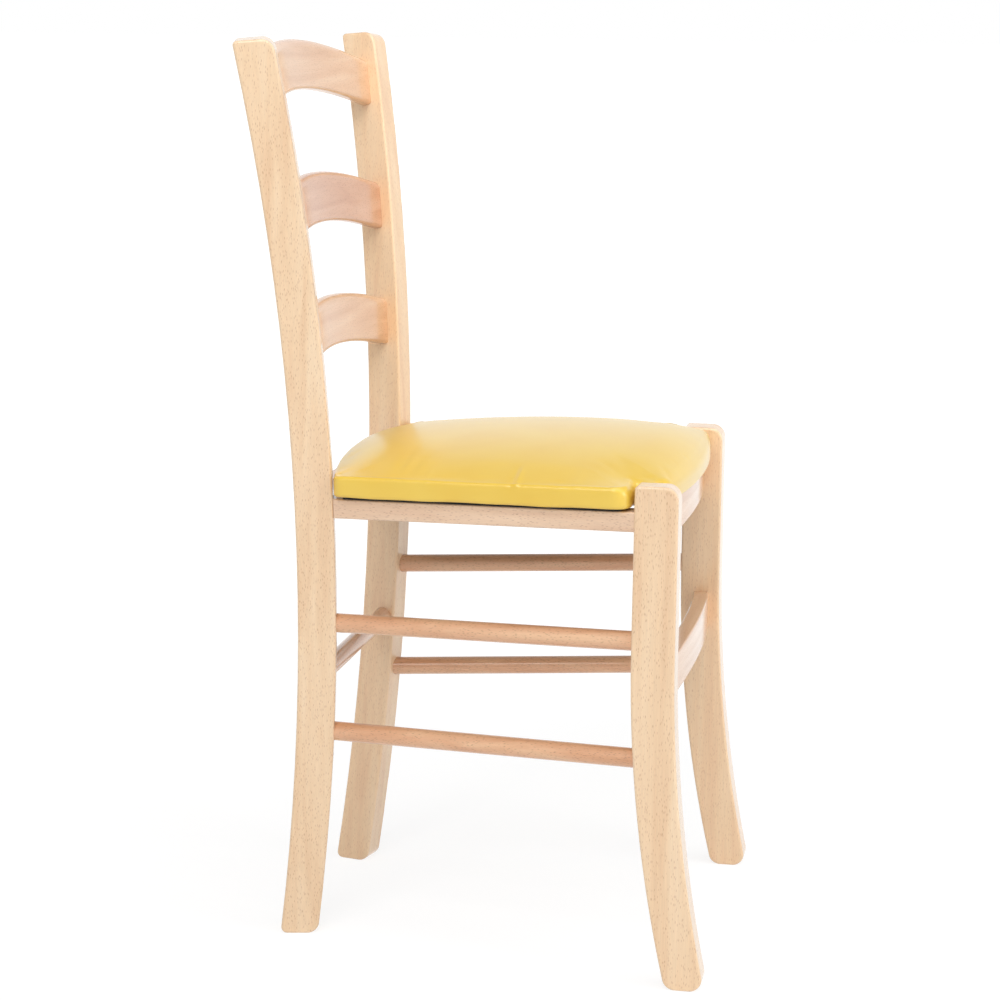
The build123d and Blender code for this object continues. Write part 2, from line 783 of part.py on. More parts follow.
# The crown's radii, one across the pad and one along it, meet at its highest point
crown_y = pad_front + pad_crown_from_front
crown_half = pad_overhang - front_corner_x
crown_turn = asin((pad_rear - pad_front) / pad_crown_length_radius)
crown_start = seat_normal * cos(crown_turn) + seat_plane.y_dir * sin(crown_turn)
crown_centre = seat_plane.from_local_coords(
    (0, crown_y, dust_cover_thickness + pad_crown - pad_crown_length_radius)
)
crown_axis = Axis(crown_centre, (1, 0, 0))
up_from_seat = Axis(seat_plane.origin, seat_normal)


def crown_block(inset):
    """All that lies under the crowned surface, turned about an axis far below the seat."""
    width_radius = pad_crown_width_radius - inset
    drop = sagitta(width_radius, crown_half)
    top = crown_centre + crown_start * (pad_crown_length_radius - inset)
    with BuildPart() as block:
        with BuildSketch(Plane(origin=top, x_dir=(1, 0, 0), z_dir=Vector(1, 0, 0).cross(crown_start))):
            with BuildLine():
                arc = ThreePointArc((-crown_half, -drop), (0, 0), (crown_half, -drop))
                Polyline(arc @ 1, (crown_half, -2 * pad_crown), (-crown_half, -2 * pad_crown), arc @ 0)
            make_face()
        revolve(axis=crown_axis, revolution_arc=degrees(2 * crown_turn))
    return block.part


def pad_form(inset):
    """The pad's crowned solid, shrunk by an even inset."""
    outline = pad_outline(inset)
    crown = crown_block(inset)
    with BuildPart() as form:
        with BuildSketch(seat_plane.offset(dust_cover_thickness + inset)):
            add(outline)
        extrude(amount=pad_crown)
        add(crown, mode=Mode.INTERSECT)
        fillet(form.faces().sort_by(up_from_seat)[-1].edges(), radius=pad_top_round - inset)
        fillet(form.faces().sort_by(up_from_seat)[0].edges(), radius=pad_bottom_round - inset)
    return form.part


# Dust cover of black cloth, lying on the rails
dust_outline = pad_outline(dust_cover_inset)
with BuildPart() as dust_cover:
    with BuildSketch(seat_plane):
        add(dust_outline)
    extrude(amount=dust_cover_thickness)
    add(fastener_holes, mode=Mode.SUBTRACT)
write(dust_cover, "dust_cover")

# Plywood board and foam, inside the cover
board_top = seat_plane.offset(dust_cover_thickness + cover_thickness + board_thickness)
filling = pad_form(cover_thickness)
soft_filling = pad_form(cover_thickness + foam_gap)
with BuildPart() as seat_board:
    add(filling)
    split(bisect_by=board_top, keep=Keep.BOTTOM)
    add(fastener_holes, mode=Mode.SUBTRACT)
write(seat_board, "seat_board")

with BuildPart() as seat_foam:
    add(soft_filling)
    split(bisect_by=board_top, keep=Keep.TOP)
write(seat_foam, "seat_foam")

# Cover of leathercloth, wrapped under the board, with a hem inside the staples
hem_start = beside_rail(-side_line - hem_past_staples)
hem_front = front_line + hem_past_staples
hem_rear = rear_line - hem_past_staples
hem_corners = [(hem_start + side_rise * y, y) for y in (hem_front, hem_rear)]
outer_form = pad_form(0)
with BuildPart() as seat_cover:
    add(outer_form)
    add(filling, mode=Mode.SUBTRACT)
    with BuildSketch(seat_plane):
        with BuildLine():
            Polyline(
                *hem_corners,
                *[(-x, y) for x, y in reversed(hem_corners)],
                close=True,
            )
        make_face()
        fillet(vertices(), radius=pad_corner_round)
    extrude(amount=dust_cover_thickness + pad_bottom_round, mode=Mode.SUBTRACT)
    add(fastener_holes, mode=Mode.SUBTRACT)
write(seat_cover, "seat_cover")
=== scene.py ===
import math

import bpy
import numpy as np
from mathutils import Matrix, Vector
from mathutils.kdtree import KDTree


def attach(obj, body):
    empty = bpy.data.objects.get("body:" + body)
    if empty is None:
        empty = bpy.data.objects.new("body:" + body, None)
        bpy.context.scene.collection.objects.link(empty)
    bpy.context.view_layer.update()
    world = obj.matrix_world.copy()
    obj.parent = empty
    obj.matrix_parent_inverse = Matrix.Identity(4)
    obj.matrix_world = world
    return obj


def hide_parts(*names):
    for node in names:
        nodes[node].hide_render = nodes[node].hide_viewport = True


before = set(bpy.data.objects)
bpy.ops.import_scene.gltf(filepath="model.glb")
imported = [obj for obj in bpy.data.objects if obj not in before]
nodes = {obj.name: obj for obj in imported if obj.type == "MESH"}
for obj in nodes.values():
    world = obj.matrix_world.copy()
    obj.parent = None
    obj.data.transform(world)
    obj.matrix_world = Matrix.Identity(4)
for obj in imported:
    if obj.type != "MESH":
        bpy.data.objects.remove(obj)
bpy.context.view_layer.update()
scene = bpy.context.scene
mm = 0.001
quarterTurn = math.pi / 2
print("chair frame loaded:", len(nodes), "nodes")


def linear(hexText):  # sRGB hex to linear RGBA
    srgb = np.array([int(hexText[i:i + 2], 16) for i in (1, 3, 5)]) / 255
    rgb = np.where(srgb <= 0.04045, srgb / 12.92, ((srgb + 0.055) / 1.055) ** 2.4)
    return (*rgb.tolist(), 1.0)


def addNode(tree, kind, links=None, **settings):  # one node, its settings, and its inputs as values or links
    node = tree.nodes.new(kind)
    for name, value in settings.items():
        setattr(node, name, value)
    for name, value in (links or {}).items():
        if isinstance(value, bpy.types.NodeSocket):
            tree.links.new(value, node.inputs[name])
        else:
            node.inputs[name].default_value = value
    return node


def newMaterial(name):
    material = bpy.data.materials.new(name)
    material.use_nodes = True
    material.node_tree.nodes.clear()
    return material, material.node_tree


def withSurface(material, shader):  # ends a material in this shader
    addNode(material.node_tree, "ShaderNodeOutputMaterial", {"Surface": shader.outputs[0]})
    return material


def setStops(ramp, stops):  # stops of a colour ramp as place and hex colour
    elements = ramp.color_ramp.elements
    while len(elements) < len(stops):
        elements.new(1.0)
    for element, (place, hexText) in zip(elements, stops):
        element.position = place
        element.color = linear(hexText)


def perCell(size):  # pattern scale at which one cell is this many mm
    return 1 / (size * mm)


def newObject(name, data):
    thing = bpy.data.objects.new(name, data)
    scene.collection.objects.link(thing)
    return thing


# Camera: the photograph's own view of the chair's right side, from above the seat's height
camera = {
    "place": (-2.502065, -0.485888, 0.909166),             # metres
    "yaw": 0.194762, "pitch": 0.189090, "roll": 0.009614,  # radians
    "lens": 93.909, "sensor": 36, "reach": 200,            # mm, mm and metres
}


def photoCamera():
    # looks along the yaw and down by the pitch, and the roll turns the picture about that line
    cy, sy = math.cos(camera["yaw"]), math.sin(camera["yaw"])
    cp, sp = math.cos(camera["pitch"]), math.sin(camera["pitch"])
    cr, sr = math.cos(camera["roll"]), math.sin(camera["roll"])
    ahead = Vector((cp * cy, cp * sy, -sp))
    aside = Vector((sy, -cy, 0))
    above = aside.cross(ahead)
    right = aside * cr + above * sr
    up = above * cr - aside * sr
    data = bpy.data.cameras.new("photoCamera")
    data.lens = camera["lens"]
    data.sensor_width = camera["sensor"]
    data.clip_end = camera["reach"]
    eye = newObject("photoCamera", data)
    eye.matrix_world = Matrix.Translation(camera["place"]) @ Matrix((right, up, -ahead)).transposed().to_4x4()
    return eye


scene.camera = photoCamera()
print("camera set")


# Steamed beech, planed and sanded, under a thin satin lacquer: a pale even ground with faint bands,
# and short brown ray flecks lying along the grain, drawn a little coarse so that they show.
# Each board comes from its own log, so there are six tones, save that the far plank tone differs from the
# plank tone only as painted light
beech = {
    "band": (14, 420), "fleck": (1.2, 6.0), "fibre": (0.8, 40),  # mm across and along the grain
    "roughness": 0.45, "ior": 1.5, "lacquer": 0.14,              # the lacquer's own roughness is last
    "plank": {"bands": ("#F5D8B4", "#F1D0A9", "#E8C198"), "fleck": "#A9683A", "share": 0.5},
    # painted light: the plank tone lightened and warmed, in place of light that the far post and leg lack in
    # the seat's shade
    "farPlankPaintedLight": {"bands": ("#FBDCB6", "#F8D5AC", "#F0C69D"), "fleck": "#B87646", "share": 0.36},
    "slat": {"bands": ("#EFC7A2", "#E7B991", "#DAA880"), "fleck": "#A96A46", "share": 0.42},
    "redSlat": {"bands": ("#E2B292", "#D8A380", "#CB926E"), "fleck": "#9C5A42", "share": 0.5},
    "rail": {"bands": ("#F2D2B4", "#EBC9AA", "#E0B898"), "fleck": "#94583A", "share": 0.5},
    "rod": {"bands": ("#EDBF96", "#E3AC83", "#D59A6F"), "fleck": "#8F5E42", "share": 0.5},
}


def beechWood(name, turned, tones):
    material, tree = newMaterial(name)
    place = addNode(tree, "ShaderNodeTexCoord")
    along = addNode(tree, "ShaderNodeMapping", {"Vector": place.outputs["Object"], "Rotation": turned})

    def cells(pattern):  # coordinates in which one cell of the pattern has its size
        across, length = beech[pattern]
        scale = (perCell(across), perCell(across), perCell(length))
        return addNode(tree, "ShaderNodeMapping", {"Vector": along.outputs[0], "Scale": scale}).outputs[0]

    bands = addNode(tree, "ShaderNodeTexNoise", {
        "Vector": cells("band"), "Scale": 1.0, "Detail": 3.0, "Roughness": 0.5, "Distortion": 0.4})
    tone = addNode(tree, "ShaderNodeValToRGB", {"Fac": bands.outputs["Fac"]})
    setStops(tone, list(zip((0.3, 0.52, 0.75), tones["bands"])))

    fibre = addNode(tree, "ShaderNodeTexNoise", {"Vector": cells("fibre"), "Scale": 1.0, "Detail": 2.0})
    streak = addNode(tree, "ShaderNodeMapRange", {
        "Value": fibre.outputs["Fac"], "From Min": 0.3, "From Max": 0.7, "To Min": 0.95, "To Max": 1.03})
    streaked = addNode(tree, "ShaderNodeVectorMath", {
        0: tone.outputs["Color"], "Scale": streak.outputs[0]}, operation="SCALE")

    flecks = addNode(tree, "ShaderNodeTexVoronoi", {
        "Vector": cells("fleck"), "Scale": 1.0, "Randomness": 1.0})
    fleckMask = addNode(tree, "ShaderNodeMapRange", {
        "Value": flecks.outputs["Distance"], "From Min": 0.14, "From Max": 0.3,
        "To Min": tones["share"], "To Max": 0.0})
    wood = addNode(tree, "ShaderNodeMix", {  # a colour mix takes its factor, ground and fleck by place
        0: fleckMask.outputs[0], 6: streaked.outputs[0], 7: linear(tones["fleck"])}, data_type="RGBA")

    relief = addNode(tree, "ShaderNodeBump", {
        "Strength": 0.12, "Distance": 0.2 * mm, "Height": fibre.outputs["Fac"]})
    shader = addNode(tree, "ShaderNodeBsdfPrincipled", {
        "Base Color": wood.outputs[2], "Roughness": beech["roughness"], "IOR": beech["ior"],
        "Coat Weight": 1.0, "Coat Roughness": beech["lacquer"], "Normal": relief.outputs[0]})
    return withSurface(material, shader)


# Zinc-plated steel wire and screws, drawn and barrel plated: a dull even grey gleam
zinc = {"mottle": 1.5, "tone": "#B9BBBD"}  # mm and colour


def zincSteel():
    material, tree = newMaterial("zincPlatedSteel")
    place = addNode(tree, "ShaderNodeTexCoord")
    mottle = addNode(tree, "ShaderNodeTexNoise", {
        "Vector": place.outputs["Object"], "Scale": perCell(zinc["mottle"]), "Detail": 2.0})
    dull = addNode(tree, "ShaderNodeMapRange", {"Value": mottle.outputs["Fac"], "To Min": 0.3, "To Max": 0.5})
    shader = addNode(tree, "ShaderNodeBsdfPrincipled", {
        "Base Color": linear(zinc["tone"]), "Metallic": 1.0, "Roughness": dull.outputs[0]})
    return withSurface(material, shader)


# Birch plywood, rotary cut and sanded: plain pale wood with broad wavy figure
birch = {"figure": (30, 200, 2), "pale": "#DDBE90", "dark": "#C9A271"}  # mm across, along and through


def birchPlywood():
    material, tree = newMaterial("birchPlywoodSanded")
    place = addNode(tree, "ShaderNodeTexCoord")
    space = addNode(tree, "ShaderNodeMapping", {
        "Vector": place.outputs["Object"], "Scale": [perCell(size) for size in birch["figure"]]})
    figure = addNode(tree, "ShaderNodeTexNoise", {"Vector": space.outputs[0], "Scale": 1.0, "Detail": 4.0})
    tone = addNode(tree, "ShaderNodeValToRGB", {"Fac": figure.outputs["Fac"]})
    setStops(tone, [(0.35, birch["pale"]), (0.7, birch["dark"])])
    shader = addNode(tree, "ShaderNodeBsdfPrincipled", {
        "Base Color": tone.outputs["Color"], "Roughness": 0.7})
    return withSurface(material, shader)


upright = (0, 0, 0)
crosswise = (0, quarterTurn, 0)
lengthwise = (quarterTurn, 0, 0)
plankBeech = beechWood("beechPlanedUpright", upright, beech["plank"])
# a lit copy of the plank beech: painted light on the far post and leg
farPlankPaintedLightBeech = beechWood("beechPlanedUprightPaintedLight", upright, beech["farPlankPaintedLight"])
slatBeech = beechWood("beechPlanedCrosswise", crosswise, beech["slat"])
redSlatBeech = beechWood("beechPlanedCrosswiseRed", crosswise, beech["redSlat"])
rodBeech = beechWood("beechTurnedLengthwise", lengthwise, beech["rod"])
crossRodBeech = beechWood("beechTurnedCrosswise", crosswise, beech["rod"])
railBeech = beechWood("beechPlanedLengthwise", lengthwise, beech["rail"])
steel = zincSteel()
plywood = birchPlywood()
finishes = {  # by the start of a node's name, and the first that fits counts
    # the far post and leg take the plank beech with painted light
    "rear_post_left": farPlankPaintedLightBeech, "front_leg_left": farPlankPaintedLightBeech, "back_slat_middle": redSlatBeech,
    "rear_post": plankBeech, "front_leg": plankBeech, "back_slat": slatBeech, "front_stretcher": slatBeech,
    "front_seat_rail": slatBeech, "rear_seat_rail": crossRodBeech, "rear_stretcher": crossRodBeech,
    "side_stretcher": rodBeech, "side_seat_rail": railBeech,
    "seat_board": plywood, "seat_screws": steel, "cover_staples": steel,
}
for name, node in nodes.items():
    finish = next((finishes[start] for start in finishes if name.startswith(start)), None)
    if finish:
        node.data.materials.clear()
        node.data.materials.append(finish)
print("wood and fasteners finished")


# The seat plane: the tops of the side rails, x across, y to the rear and z square to it, all in mm
seat = {"y": -162.010, "z": 451.998, "slope": 0.020041}  # the slope is in radians


def seatToChair(points):  # turns seat-plane mm to chair metres
    s, c = math.sin(seat["slope"]), math.cos(seat["slope"])
    x, y, z = np.moveaxis(np.asarray(points, float), -1, 0)
    return np.stack([x, seat["y"] + y * c + z * s, seat["z"] - y * s + z * c], -1) * mm


def chairToSeat(points):  # turns chair metres back to seat-plane mm
    s, c = math.sin(seat["slope"]), math.cos(seat["slope"])
    x, y, z = np.asarray(points, float).T / mm
    y, z = y - seat["y"], z - seat["z"]
    return np.stack([x, y * c - z * s, y * s + z * c], -1)


# Seat pad, in seat-plane mm
pad = {
    "lobeHalf": 159.7, "lobeY": -19.7, "frontY": -33.6, "notchY": 10.5,  # front lobe between the legs
    "sideFront": 195.3, "sideRear": 170.4,                               # half widths at the sides' ends
    "rearCornerY": 295.5, "rearY": 316.2,                                # bowed rear edge
    "lobeSoft": 20, "notchSoft": 8, "cornerSoft": 20, "rearSoft": 8,     # how far corners are rounded off
    "bowSoft": 16, "bowPoints": 9, "cornerPoints": 11,
    "bottom": 2.8, "band": 23.5, "crown": 47.8,                          # heights above the rails
    "rearBand": 28, "rearDrop": 5, "rearHalf": 165,                      # the rear band, lower at its ends
    "bottomRound": 3, "edgeRound": 3.5,                                  # lower and upper edge
    "frontRound": 14, "frontShort": 0.45,                                # front edge, and its missing share
    "widthRadius": 740, "lengthRadius": 1400, "crownY": 121,             # the dome's bows and highest line
    "middle": (0, 140), "roll": 48, "rollStart": 1, "rollPower": 1.2,    # how it comes down to its edge
    "points": 800, "bandRings": 6, "roundRings": 7, "domeRings": 60, "domePower": 0.8,
    "underRings": 24, "underStart": 0.04,
    "voxel": 4.5, "pressure": 4.0, "swell": 2.5, "frames": 20,           # cloth: mm, air pressure, cap in mm
    "heldBelow": 2, "neighbours": 4, "blur": 0.5,                        # how it is held and carried over
}


def padOutline(count):
    # corner points joined by straights, each corner replaced by a parabola that touches both its sides
    a = np.linspace(-1, 1, pad["bowPoints"])[1:-1]
    front = np.stack([pad["lobeHalf"] * a, pad["frontY"] + (pad["lobeY"] - pad["frontY"]) * a ** 2], -1)
    rear = np.stack([-pad["sideRear"] * a, pad["rearY"] + (pad["rearCornerY"] - pad["rearY"]) * a ** 2], -1)
    left = np.array([(pad["lobeHalf"], pad["lobeY"]), (pad["lobeHalf"], pad["notchY"]),
                     (pad["sideFront"], pad["notchY"]), (pad["sideRear"], pad["rearCornerY"])])
    corners = np.concatenate([front, left, rear, left[::-1] * (-1, 1)])
    softLeft = [pad["lobeSoft"], pad["notchSoft"], pad["cornerSoft"], pad["rearSoft"]]
    bow = [pad["bowSoft"]] * len(a)
    soft = np.array([*bow, *softLeft, *bow, *softLeft[::-1]])[:, None]
    before = np.roll(corners, 1, 0) - corners
    after = np.roll(corners, -1, 0) - corners
    begin = corners + before / np.linalg.norm(before, axis=1, keepdims=True) * soft
    end = corners + after / np.linalg.norm(after, axis=1, keepdims=True) * soft
    u = np.linspace(0, 1, pad["cornerPoints"])[None, :, None]
    line = (1 - u) ** 2 * begin[:, None] + 2 * u * (1 - u) * corners[:, None] + u ** 2 * end[:, None]
    loop = np.concatenate([line.reshape(-1, 2), line[0, :1]])
    far = np.concatenate([[0], np.cumsum(np.linalg.norm(np.diff(loop, axis=0), axis=1))])
    at = np.linspace(0, far[-1], count, endpoint=False)
    return np.stack([np.interp(at, far, loop[:, k]) for k in (0, 1)], -1)


def outward(line):  # unit normals that point out of a closed line drawn anticlockwise
    along = np.roll(line, -1, 0) - np.roll(line, 1, 0)
    along /= np.linalg.norm(along, axis=1, keepdims=True)
    return np.stack([along[:, 1], -along[:, 0]], -1)


def closedSkin(name, rings, below, top):
    # rings of equal count stacked from below to the top, closed by a fan at each end
    count = rings.shape[1]
    points = np.concatenate([rings.reshape(-1, 3), [below, top]])
    i, j = np.meshgrid(np.arange(len(rings) - 1) * count, np.arange(count), indexing="ij")
    k = (j + 1) % count
    quads = np.stack([i + j, i + k, i + count + k, i + count + j], -1).reshape(-1, 4)
    here = np.arange(count)
    onward = (here + 1) % count
    last = (len(rings) - 1) * count
    low = np.stack([onward, here, np.full(count, len(points) - 2)], -1)
    high = np.stack([last + here, last + onward, np.full(count, len(points) - 1)], -1)
    mesh = bpy.data.meshes.new(name)
    mesh.from_pydata(seatToChair(points).tolist(), [], quads.tolist() + low.tolist() + high.tolist())
    mesh.update()
    return newObject(name, mesh)


def withHeight(flat, height):  # adds the rings' heights to their flat points
    height = np.broadcast_to(np.asarray(height, float), flat.shape[:2])
    return np.concatenate([flat, height[..., None]], -1)


def drawnIn(ring, shares):  # copies of a flat ring, at these shares of its way from the pad's middle
    middle = np.array(pad["middle"])
    return middle + shares[:, None, None] * (ring - middle)[None]


def padSkin():
    # flat underside, rounded lower edge, upright band, soft upper edge, then a dome: the crown less the
    # squares of the ways across and along, which rolls down to the band on a rounded quarter near its edge
    line = padOutline(pad["points"])
    normal = outward(line)
    bend = np.linspace(0, quarterTurn, pad["roundRings"])
    low = line[None] - normal[None] * (pad["bottomRound"] * (1 - np.sin(bend)))[:, None, None]
    low = withHeight(low, (pad["bottom"] + pad["bottomRound"] * (1 - np.cos(bend)))[:, None])
    shares = np.linspace(pad["underStart"], 1, pad["underRings"])[:-1]
    under = withHeight(drawnIn(low[0, :, :2], shares), pad["bottom"])

    toRear = np.clip(normal[:, 1], 0, 1)  # the rear edge is fuller in its middle
    rearRise = pad["rearBand"] - pad["rearDrop"] * (line[:, 0] / pad["rearHalf"]) ** 2
    rise = pad["band"] + toRear * (rearRise - pad["band"])
    toFront = np.clip(-normal[:, 1], 0, 1)  # the front edge is a wide soft round without a crease
    radius = pad["edgeRound"] + (pad["frontRound"] - pad["edgeRound"]) * toFront
    sweep = quarterTurn * (1 - pad["frontShort"] * toFront)
    start = pad["bottom"] + pad["bottomRound"]
    top = rise - radius * np.sin(sweep)
    side = np.linspace(0, 1, pad["bandRings"])[1:-1, None]
    band = withHeight(np.broadcast_to(line, (len(side), *line.shape)), start + (top - start) * side)
    bend = np.linspace(0, 1, pad["roundRings"])[:, None] * sweep
    edge = line[None] - normal[None] * (radius * (1 - np.cos(bend)))[..., None]
    edge = withHeight(edge, top + radius * np.sin(bend))

    rim = edge[-1]
    shares = np.linspace(1, 0, pad["domeRings"])[1:-1] ** pad["domePower"]
    dome = drawnIn(rim[:, :2], shares)
    flat = dome.reshape(-1, 2)
    parts = np.array_split(flat, len(dome))  # a part at a time keeps the table of ways small
    ways = [((part[:, None] - rim[None, :, :2]) ** 2).sum(-1) for part in parts]
    away = np.sqrt(np.concatenate([way.min(1) for way in ways]))  # from each point to the edge
    base = rim[np.concatenate([way.argmin(1) for way in ways]), 2]
    across = flat[:, 0] ** 2 / (2 * pad["widthRadius"])
    along = (flat[:, 1] - pad["crownY"]) ** 2 / (2 * pad["lengthRadius"])
    inward = np.clip((away + pad["rollStart"]) / pad["roll"], 0, 1)
    rolled = np.sqrt(1 - (1 - inward) ** 2) ** pad["rollPower"]
    height = base + (pad["crown"] - across - along - base) * rolled
    dome = withHeight(dome, height.reshape(dome.shape[:2]))
    rings = np.concatenate([under, low, band, edge, dome])
    peak = dome[-1, :, 2].mean()
    return closedSkin("seatPad", rings, (*pad["middle"], pad["bottom"]), (*pad["middle"], peak))


def meshPoints(mesh):
    points = np.empty(len(mesh.vertices) * 3, np.float32)
    mesh.vertices.foreach_get("co", points)
    return points.reshape(-1, 3).astype(float)


def bakedMesh(piece):  # the piece's mesh with its modifiers applied
    return bpy.data.meshes.new_from_object(piece.evaluated_get(bpy.context.evaluated_depsgraph_get()))


def swelling(shape):
    # a copy of the skin as cloth, blown up by air from inside while the band and underside are held
    body = newObject("padCloth", shape.data.copy())
    even = body.modifiers.new("even", "REMESH")
    even.mode = "VOXEL"
    even.voxel_size = pad["voxel"] * mm
    evenMesh = bakedMesh(body)
    body.modifiers.remove(even)
    body.data = evenMesh
    rest = chairToSeat(meshPoints(evenMesh))
    held = np.nonzero(rest[:, 2] < pad["band"] - pad["heldBelow"])[0]
    body.vertex_groups.new(name="held").add(held.tolist(), 1.0, "REPLACE")
    cloth = body.modifiers.new("cloth", "CLOTH")
    cloth.settings.vertex_group_mass = "held"
    cloth.settings.use_pressure = True
    cloth.settings.uniform_pressure_force = pad["pressure"]
    cloth.settings.effector_weights.gravity = 0
    cloth.point_cache.frame_end = pad["frames"]
    for step in range(1, pad["frames"] + 1):
        scene.frame_set(step)
    moved = chairToSeat(meshPoints(bakedMesh(body))) - rest
    bpy.data.objects.remove(body)
    scene.frame_set(1)
    way = np.linalg.norm(moved, axis=1, keepdims=True)
    print("pad blown up by at most", round(float(way.max()), 1), "mm")
    return rest, moved * pad["swell"] / (pad["swell"] + way)  # never as far as the cap


def follow(points, rest, moved):  # moves points as the nearest cloth points moved, nearer ones counting more
    tree = KDTree(len(rest))
    for i, point in enumerate(rest.tolist()):
        tree.insert(point, i)
    tree.balance()
    near = [tree.find_n(point, pad["neighbours"]) for point in points.tolist()]
    index = np.array([[hit[1] for hit in hits] for hits in near])
    weight = 1 / (np.array([[hit[2] for hit in hits] for hits in near]) + pad["blur"])
    weight /= weight.sum(1, keepdims=True)
    return points + (moved[index] * weight[..., None]).sum(1)


# Small folds of the leathercloth, in seat-plane mm: upright ones on the right band, an uneven lower edge,
# and puckers at the notch corners
folds = {
    "upright": ((118, 2.2, 1.0), (123, 3, -0.5), (205, 3, 0.3), (62, 3, 0.25)),  # y, width and depth
    "uprightZ": 27, "uprightReach": 7, "sideFrom": 140, "sideFade": 20, "lift": 0.7,
    "hem": ((21, 0, 0.4), (9, 1, 0.3)),                                          # wave's length, start, height
    "hemZ": 5, "hemReach": 5, "hemHalf": 191, "hemTaper": 0.0881, "hemFade": 4,
    "pucker": ((2.36, 0.5, 1.2), (1.5, 0.35, -0.6)),                             # radians, width and depth
    "puckerWay": 3, "puckerReach": 6, "puckerZ": 14, "puckerFade": 10,
}


def bell(along, middle, width):  # a bell curve of height one round the middle
    return np.exp(-((along - middle) / width) ** 2)


def creased(points):
    # each fold is a bell curve across its line, and fades out away from its edge of the pad
    x, y, z = points.T
    side = np.clip((-x - folds["sideFrom"]) / folds["sideFade"], 0, 1)
    side = side * bell(z, folds["uprightZ"], folds["uprightReach"])
    fold = side * sum(depth * bell(y, middle, width) for middle, width, depth in folds["upright"])
    points[:, 0] -= fold
    points[:, 2] += fold * folds["lift"]
    hem = np.clip((np.abs(x) - folds["hemHalf"] + folds["hemTaper"] * y) / folds["hemFade"], 0, 1)
    hem = hem * bell(z, folds["hemZ"], folds["hemReach"])
    points[:, 2] += hem * sum(height * np.sin(y / length + start) for length, start, height in folds["hem"])
    for sign in (-1, 1):
        toSide, toRear = sign * x - pad["lobeHalf"], y - pad["notchY"]
        turned = np.arctan2(toRear, toSide)
        near = bell(np.hypot(toSide, toRear), folds["puckerWay"], folds["puckerReach"])
        near = near * np.clip((z - folds["puckerZ"]) / folds["puckerFade"], 0, 1)
        points[:, 2] -= near * sum(depth * bell(turned, *line) for *line, depth in folds["pucker"])
    return points


padPiece = padSkin()
padPoints = chairToSeat(meshPoints(padPiece.data))
padPoints = follow(padPoints, *swelling(padPiece))
padPiece.data.vertices.foreach_set("co", seatToChair(creased(padPoints)).astype(np.float32).ravel())
padPiece.data.update()
print("pad skin:", len(padPiece.data.polygons), "faces")

# Embossed leathercloth, a vinyl coat on knitted cloth, stretched over foam: a fine pebble and a soft gloss
leathercloth = {
    "ground": "#EBC240", "lit": "#EEC94B", "cloud": 60, "pebble": 1.1,  # mm, the two sizes
    "roughness": 0.35, "ior": 1.54, "coat": 0.7, "gloss": 0.22,         # the coat's own roughness is last
}


def yellowLeathercloth():
    material, tree = newMaterial("leatherclothEmbossed")
    place = addNode(tree, "ShaderNodeTexCoord")
    cloud = addNode(tree, "ShaderNodeTexNoise", {
        "Vector": place.outputs["Object"], "Scale": perCell(leathercloth["cloud"]), "Detail": 2.0})
    tone = addNode(tree, "ShaderNodeValToRGB", {"Fac": cloud.outputs["Fac"]})
    setStops(tone, [(0.3, leathercloth["ground"]), (0.7, leathercloth["lit"])])
    pebble = addNode(tree, "ShaderNodeTexVoronoi", {
        "Vector": place.outputs["Object"], "Scale": perCell(leathercloth["pebble"])}, feature="SMOOTH_F1")
    relief = addNode(tree, "ShaderNodeBump", {
        "Strength": 0.1, "Distance": 0.15 * mm, "Height": pebble.outputs["Distance"]})
    shader = addNode(tree, "ShaderNodeBsdfPrincipled", {
        "Base Color": tone.outputs["Color"], "Roughness": leathercloth["roughness"],
        "IOR": leathercloth["ior"], "Coat Weight": leathercloth["coat"],
        "Coat Roughness": leathercloth["gloss"], "Normal": relief.outputs[0]})
    return withSurface(material, shader)


padPiece.data.materials.append(yellowLeathercloth())
padPiece.data.polygons.foreach_set("use_smooth", np.ones(len(padPiece.data.polygons), bool))
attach(padPiece, "root")
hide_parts("seat_cover", "seat_foam")

# Dust cover: a sheet of black cloth, stapled flat under the pad, in seat-plane mm
dust = {
    "inset": 8, "thickness": 2.6, "rise": 0.1,
    "points": 360, "roundRings": 7, "rings": 18, "start": 0.05,
}


def dustSkin():
    # the pad's outline drawn in, as a flat plate with rounded edges
    line = padOutline(dust["points"])
    bend = np.linspace(-1, 1, dust["roundRings"]) * quarterTurn
    half = dust["thickness"] / 2
    rim = line[None] - outward(line)[None] * (dust["inset"] + half * (1 - np.cos(bend)))[:, None, None]
    level = dust["rise"] + half + half * np.sin(bend)
    flat = drawnIn(rim[0], np.linspace(dust["start"], 1, dust["rings"])[:-1])
    low, high = withHeight(flat, level[0]), withHeight(flat[::-1], level[-1])
    rings = np.concatenate([low, withHeight(rim, level[:, None]), high])
    return closedSkin("dustCover", rings, (*pad["middle"], level[0]), (*pad["middle"], level[-1]))


# Non-woven felt of black fibres, pressed flat: dead matt, with a fine fuzz
felt = {"fuzz": 1.2, "dark": "#141416", "lit": "#2A2A2C"}  # mm and colours


def blackFelt():
    material, tree = newMaterial("nonWovenFelt")
    place = addNode(tree, "ShaderNodeTexCoord")
    fuzz = addNode(tree, "ShaderNodeTexNoise", {
        "Vector": place.outputs["Object"], "Scale": perCell(felt["fuzz"]), "Detail": 4.0})
    tone = addNode(tree, "ShaderNodeValToRGB", {"Fac": fuzz.outputs["Fac"]})
    setStops(tone, [(0.3, felt["dark"]), (0.8, felt["lit"])])
    relief = addNode(tree, "ShaderNodeBump", {
        "Strength": 0.4, "Distance": 0.2 * mm, "Height": fuzz.outputs["Fac"]})
    shader = addNode(tree, "ShaderNodeBsdfPrincipled", {
        "Base Color": tone.outputs["Color"], "Roughness": 0.95, "Normal": relief.outputs[0]})
    return withSurface(material, shader)


dustPiece = dustSkin()
dustPiece.data.materials.append(blackFelt())
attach(dustPiece, "root")
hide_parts("dust_cover")
print("dust cover made")

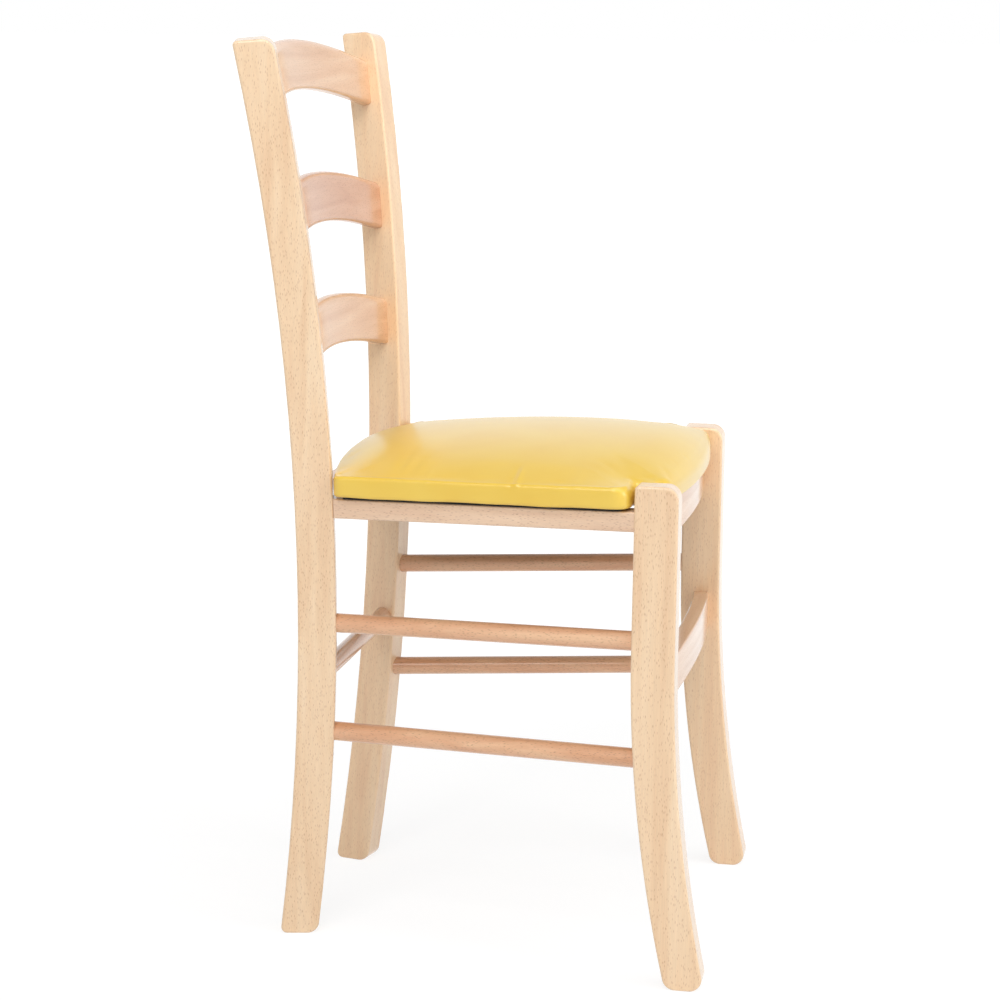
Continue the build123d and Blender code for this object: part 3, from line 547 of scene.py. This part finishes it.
# Stage: a white floor that keeps a faint shadow, a bright room and three soft lamps
stage = {
    "floor": 60.0, "paint": "#F4F4F4",                            # half its width in metres
    "white": 0.72, "glow": 1.14, "near": 0.7, "far": 1.6,         # the shadow fades out between near and far
    "ambient": 0.34, "ceiling": 0.35, "wallTop": 0.3, "overhead": 0.75,
    "lamps": {  # place and aim in metres, size in metres, power in watts
        "overheadSoftbox": ((-0.4, -0.6, 2.6), (0, 0, 0.4), 1.8, 22),
        "frontSoftbox": ((-0.6, -2.6, 1.3), (0, 0, 0.45), 1.6, 22),
        "cameraFill": ((-4.2, 0.2, 3.7), (0, 0, 0.5), 3.0, 119),
    },
}
plainWhite = (1, 1, 1, 1)


def seenDirectly(tree):  # one where the camera, gloss or glass sees the stage, and nought for its light
    ray = addNode(tree, "ShaderNodeLightPath").outputs
    shown = ray["Is Camera Ray"]
    for kind in ("Is Glossy Ray", "Is Transmission Ray"):
        shown = addNode(tree, "ShaderNodeMath", {0: shown, 1: ray[kind]}, operation="MAXIMUM").outputs[0]
    return shown


def whiteFloor():
    material, tree = newMaterial("studioFloorPainted")
    place = addNode(tree, "ShaderNodeTexCoord")
    away = addNode(tree, "ShaderNodeVectorMath", {0: place.outputs["Object"]}, operation="LENGTH")
    white = addNode(tree, "ShaderNodeMapRange", {
        "Value": away.outputs["Value"], "From Min": stage["near"], "From Max": stage["far"],
        "To Min": stage["white"], "To Max": 1.0})
    share = addNode(tree, "ShaderNodeMath", {
        0: seenDirectly(tree), 1: white.outputs[0]}, operation="MULTIPLY")
    paint = addNode(tree, "ShaderNodeBsdfDiffuse", {"Color": linear(stage["paint"])})
    glow = addNode(tree, "ShaderNodeEmission", {"Color": plainWhite, "Strength": stage["glow"]})
    return withSurface(material, addNode(tree, "ShaderNodeMixShader", {
        0: share.outputs[0], 1: paint.outputs[0], 2: glow.outputs[0]}))


def studioRoom():
    world = bpy.data.worlds.new("studio")
    world.use_nodes = True
    tree = world.node_tree
    tree.nodes.clear()
    dim = addNode(tree, "ShaderNodeBackground", {"Color": plainWhite, "Strength": stage["ambient"]})
    toward = addNode(tree, "ShaderNodeTexCoord")
    height = addNode(tree, "ShaderNodeSeparateXYZ", {0: toward.outputs["Generated"]})
    ceiling = addNode(tree, "ShaderNodeMapRange", {  # white walls up to a dimmer ceiling
        "Value": height.outputs["Z"], "From Min": stage["wallTop"], "From Max": stage["overhead"],
        "To Min": 1.0, "To Max": stage["ceiling"]})
    bright = addNode(tree, "ShaderNodeBackground", {"Color": plainWhite, "Strength": ceiling.outputs[0]})
    mixed = addNode(tree, "ShaderNodeMixShader", {
        0: seenDirectly(tree), 1: dim.outputs[0], 2: bright.outputs[0]})
    addNode(tree, "ShaderNodeOutputWorld", {"Surface": mixed.outputs[0]})
    return world


def studioFloor():
    mesh = bpy.data.meshes.new("studioFloor")
    ends = ((-1, -1, 0), (1, -1, 0), (1, 1, 0), (-1, 1, 0))
    mesh.from_pydata((np.array(ends) * stage["floor"]).tolist(), [], [(0, 1, 2, 3)])
    mesh.materials.append(whiteFloor())
    return newObject("studioFloor", mesh)


studioFloor()
scene.world = studioRoom()
for name, (place, aim, size, power) in stage["lamps"].items():
    softbox = bpy.data.lights.new(name, "AREA")
    softbox.size = size
    softbox.energy = power
    lamp = newObject(name, softbox)
    lamp.location = place
    lamp.rotation_euler = (Vector(aim) - Vector(place)).to_track_quat("-Z", "Y").to_euler()
scene.view_settings.view_transform = "Standard"
print("stage and lamps set")
